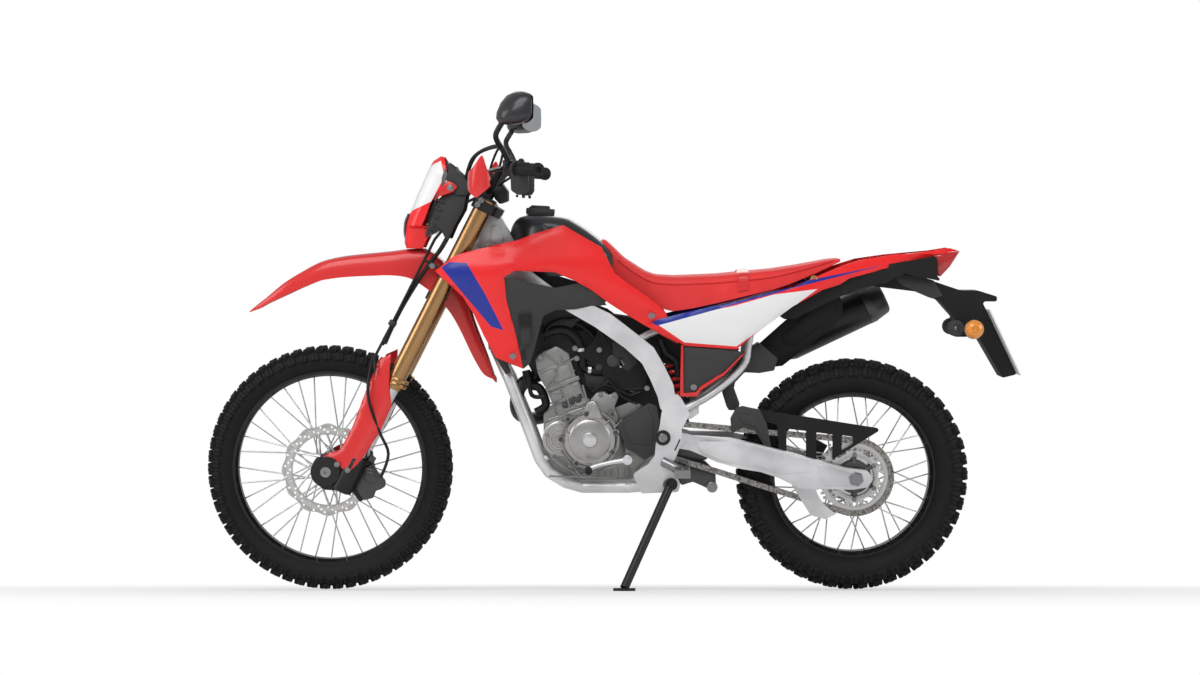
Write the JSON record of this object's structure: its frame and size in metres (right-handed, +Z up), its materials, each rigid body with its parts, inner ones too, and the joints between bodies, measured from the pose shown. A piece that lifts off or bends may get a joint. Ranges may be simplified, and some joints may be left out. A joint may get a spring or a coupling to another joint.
{
  "type": "dual sport motorcycle",
  "caption": "Dual sport motorcycle leaning on its side stand, with wire-spoked wheels, twin-spar frame, open single-cylinder engine and chain drive.",
  "frame": {"origin": "centre of the bounding box on the ground, the machine leaning on its side stand", "axes": "+Z up, -X towards the front wheel, +Y towards the rider's right; the machine leans towards -Y"},
  "size_m": [2.254, 0.863, 1.4159],
  "materials": {
    "silver_frame": "satin silver paint",
    "black_steel": "black paint",
    "engine_grey": "cast grey",
    "engine_black": "dark paint",
    "black_plastic": "grained",
    "red_plastic": "gloss",
    "white_plastic": "gloss",
    "seat_cover": "grained vinyl",
    "lens": "clear over red",
    "gold": "gold anodised",
    "chrome": "hard chrome",
    "steel": "zinc",
    "aluminium": "cast",
    "rubber": "moulded",
    "tyre": "knobbed rubber"
  },
  "bodies": {
    "chassis": {"main_frame": "silver_frame", "seat_subframe": "black_steel", "crankcase": "engine_grey", "cylinder_head": "engine_grey", "engine_covers": "engine_black", "sprocket_cover": "black_plastic", "drive_sprocket": "steel", "intake_box": "black_plastic", "radiator": "aluminium", "radiator_covers": "black_plastic", "exhaust_pipe": "steel", "muffler": "black_steel", "rear_shock": "black_steel", "fuel_tank": "black_plastic", "fuel_cap": "black_steel", "tank_shrouds": "red_plastic", "seat": "seat_cover", "side_covers": "red_plastic", "tail_fender": "black_plastic", "rear_lamps": "lens", "plate_carrier": "black_plastic", "number_plate": "white_plastic", "swingarm": "aluminium", "rear_axle": "steel", "rear_caliper": "gold", "chain": "steel", "chain_guard": "black_plastic", "chain_guide": "black_plastic", "muffler_shield": "black_steel", "footpegs": "steel", "foot_controls": "steel", "stand_bracket": "black_steel"},
    "steering": {"triple_clamps": "black_steel", "fork_tubes": "gold", "fork_sliders": "chrome", "fork_guards": "red_plastic", "front_fender": "red_plastic", "front_axle": "steel", "front_caliper": "gold", "headlight_mask": "red_plastic", "headlamp": "lens", "instrument_panel": "black_plastic", "brake_hose": "rubber", "handlebar": "black_steel", "grips": "rubber", "hand_controls": "black_plastic", "hand_guards": "red_plastic", "mirrors": "black_plastic"},
    "front_wheel": {"front_tyre": "tyre", "front_rim": "black_steel", "front_hub": "steel", "front_disc": "steel"},
    "rear_wheel": {"rear_tyre": "tyre", "rear_rim": "black_steel", "rear_hub": "steel", "rear_disc": "steel", "rear_sprocket": "steel"},
    "side_stand": {"side_stand": "black_steel"}
  },
  "joints": [
    {"name": "steer", "type": "hinge", "parent": "chassis", "child": "steering", "pos_m": [-0.71535, 0.13383, 0.30711], "axis": [0.454, -0.1394, 0.88], "range_deg": [-43, 43]},
    {"name": "front_spin", "type": "hinge", "parent": "steering", "child": "front_wheel", "pos_m": [-0.78396, 0.12836, 0.34164], "axis": [0, 0.9877, 0.1564], "continuous": true},
    {"name": "rear_spin", "type": "hinge", "parent": "chassis", "child": "rear_wheel", "pos_m": [0.67104, 0.13117, 0.32386], "axis": [0, 0.9877, 0.1564], "continuous": true},
    {"name": "stand_fold", "type": "hinge", "parent": "chassis", "child": "side_stand", "pos_m": [0.16154, -0.00704, 0.28881], "axis": [-0.1925, 0.9811, 0.0196], "range_deg": [-126.25, 0]}
  ]
}
